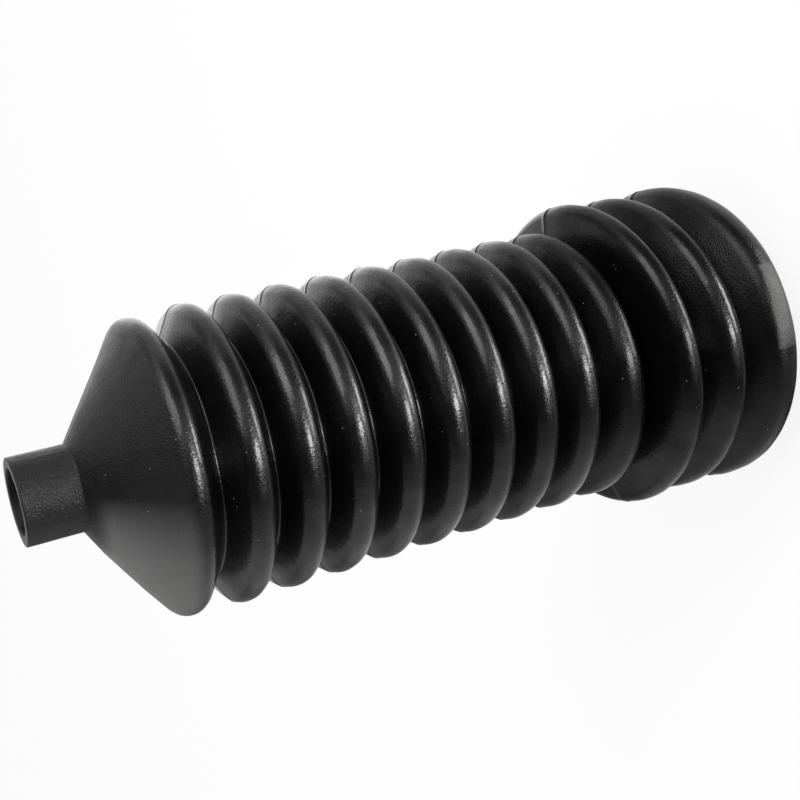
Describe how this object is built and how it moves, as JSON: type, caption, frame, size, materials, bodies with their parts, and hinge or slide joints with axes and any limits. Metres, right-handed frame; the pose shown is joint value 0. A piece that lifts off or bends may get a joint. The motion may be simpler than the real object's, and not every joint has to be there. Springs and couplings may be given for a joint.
{
  "type": "steering rack boot",
  "caption": "Moulded black rubber bellows that seals a steering rack's end: narrow tie rod cuff, cone, long run of small folds, wider folds and a collar for the rack housing.",
  "frame": {"origin": "centre of the large mouth's end face, where the boot stands", "axes": "+Z along the boot's axis, from the large mouth up to the small mouth; the shape is turned, so +X and +Y are alike"},
  "size_m": [0.0748, 0.0748, 0.1807],
  "materials": {
    "rubber": "semi-gloss"
  },
  "bodies": {
    "root": {"rack_boot": "rubber"}
  },
  "joints": []
}
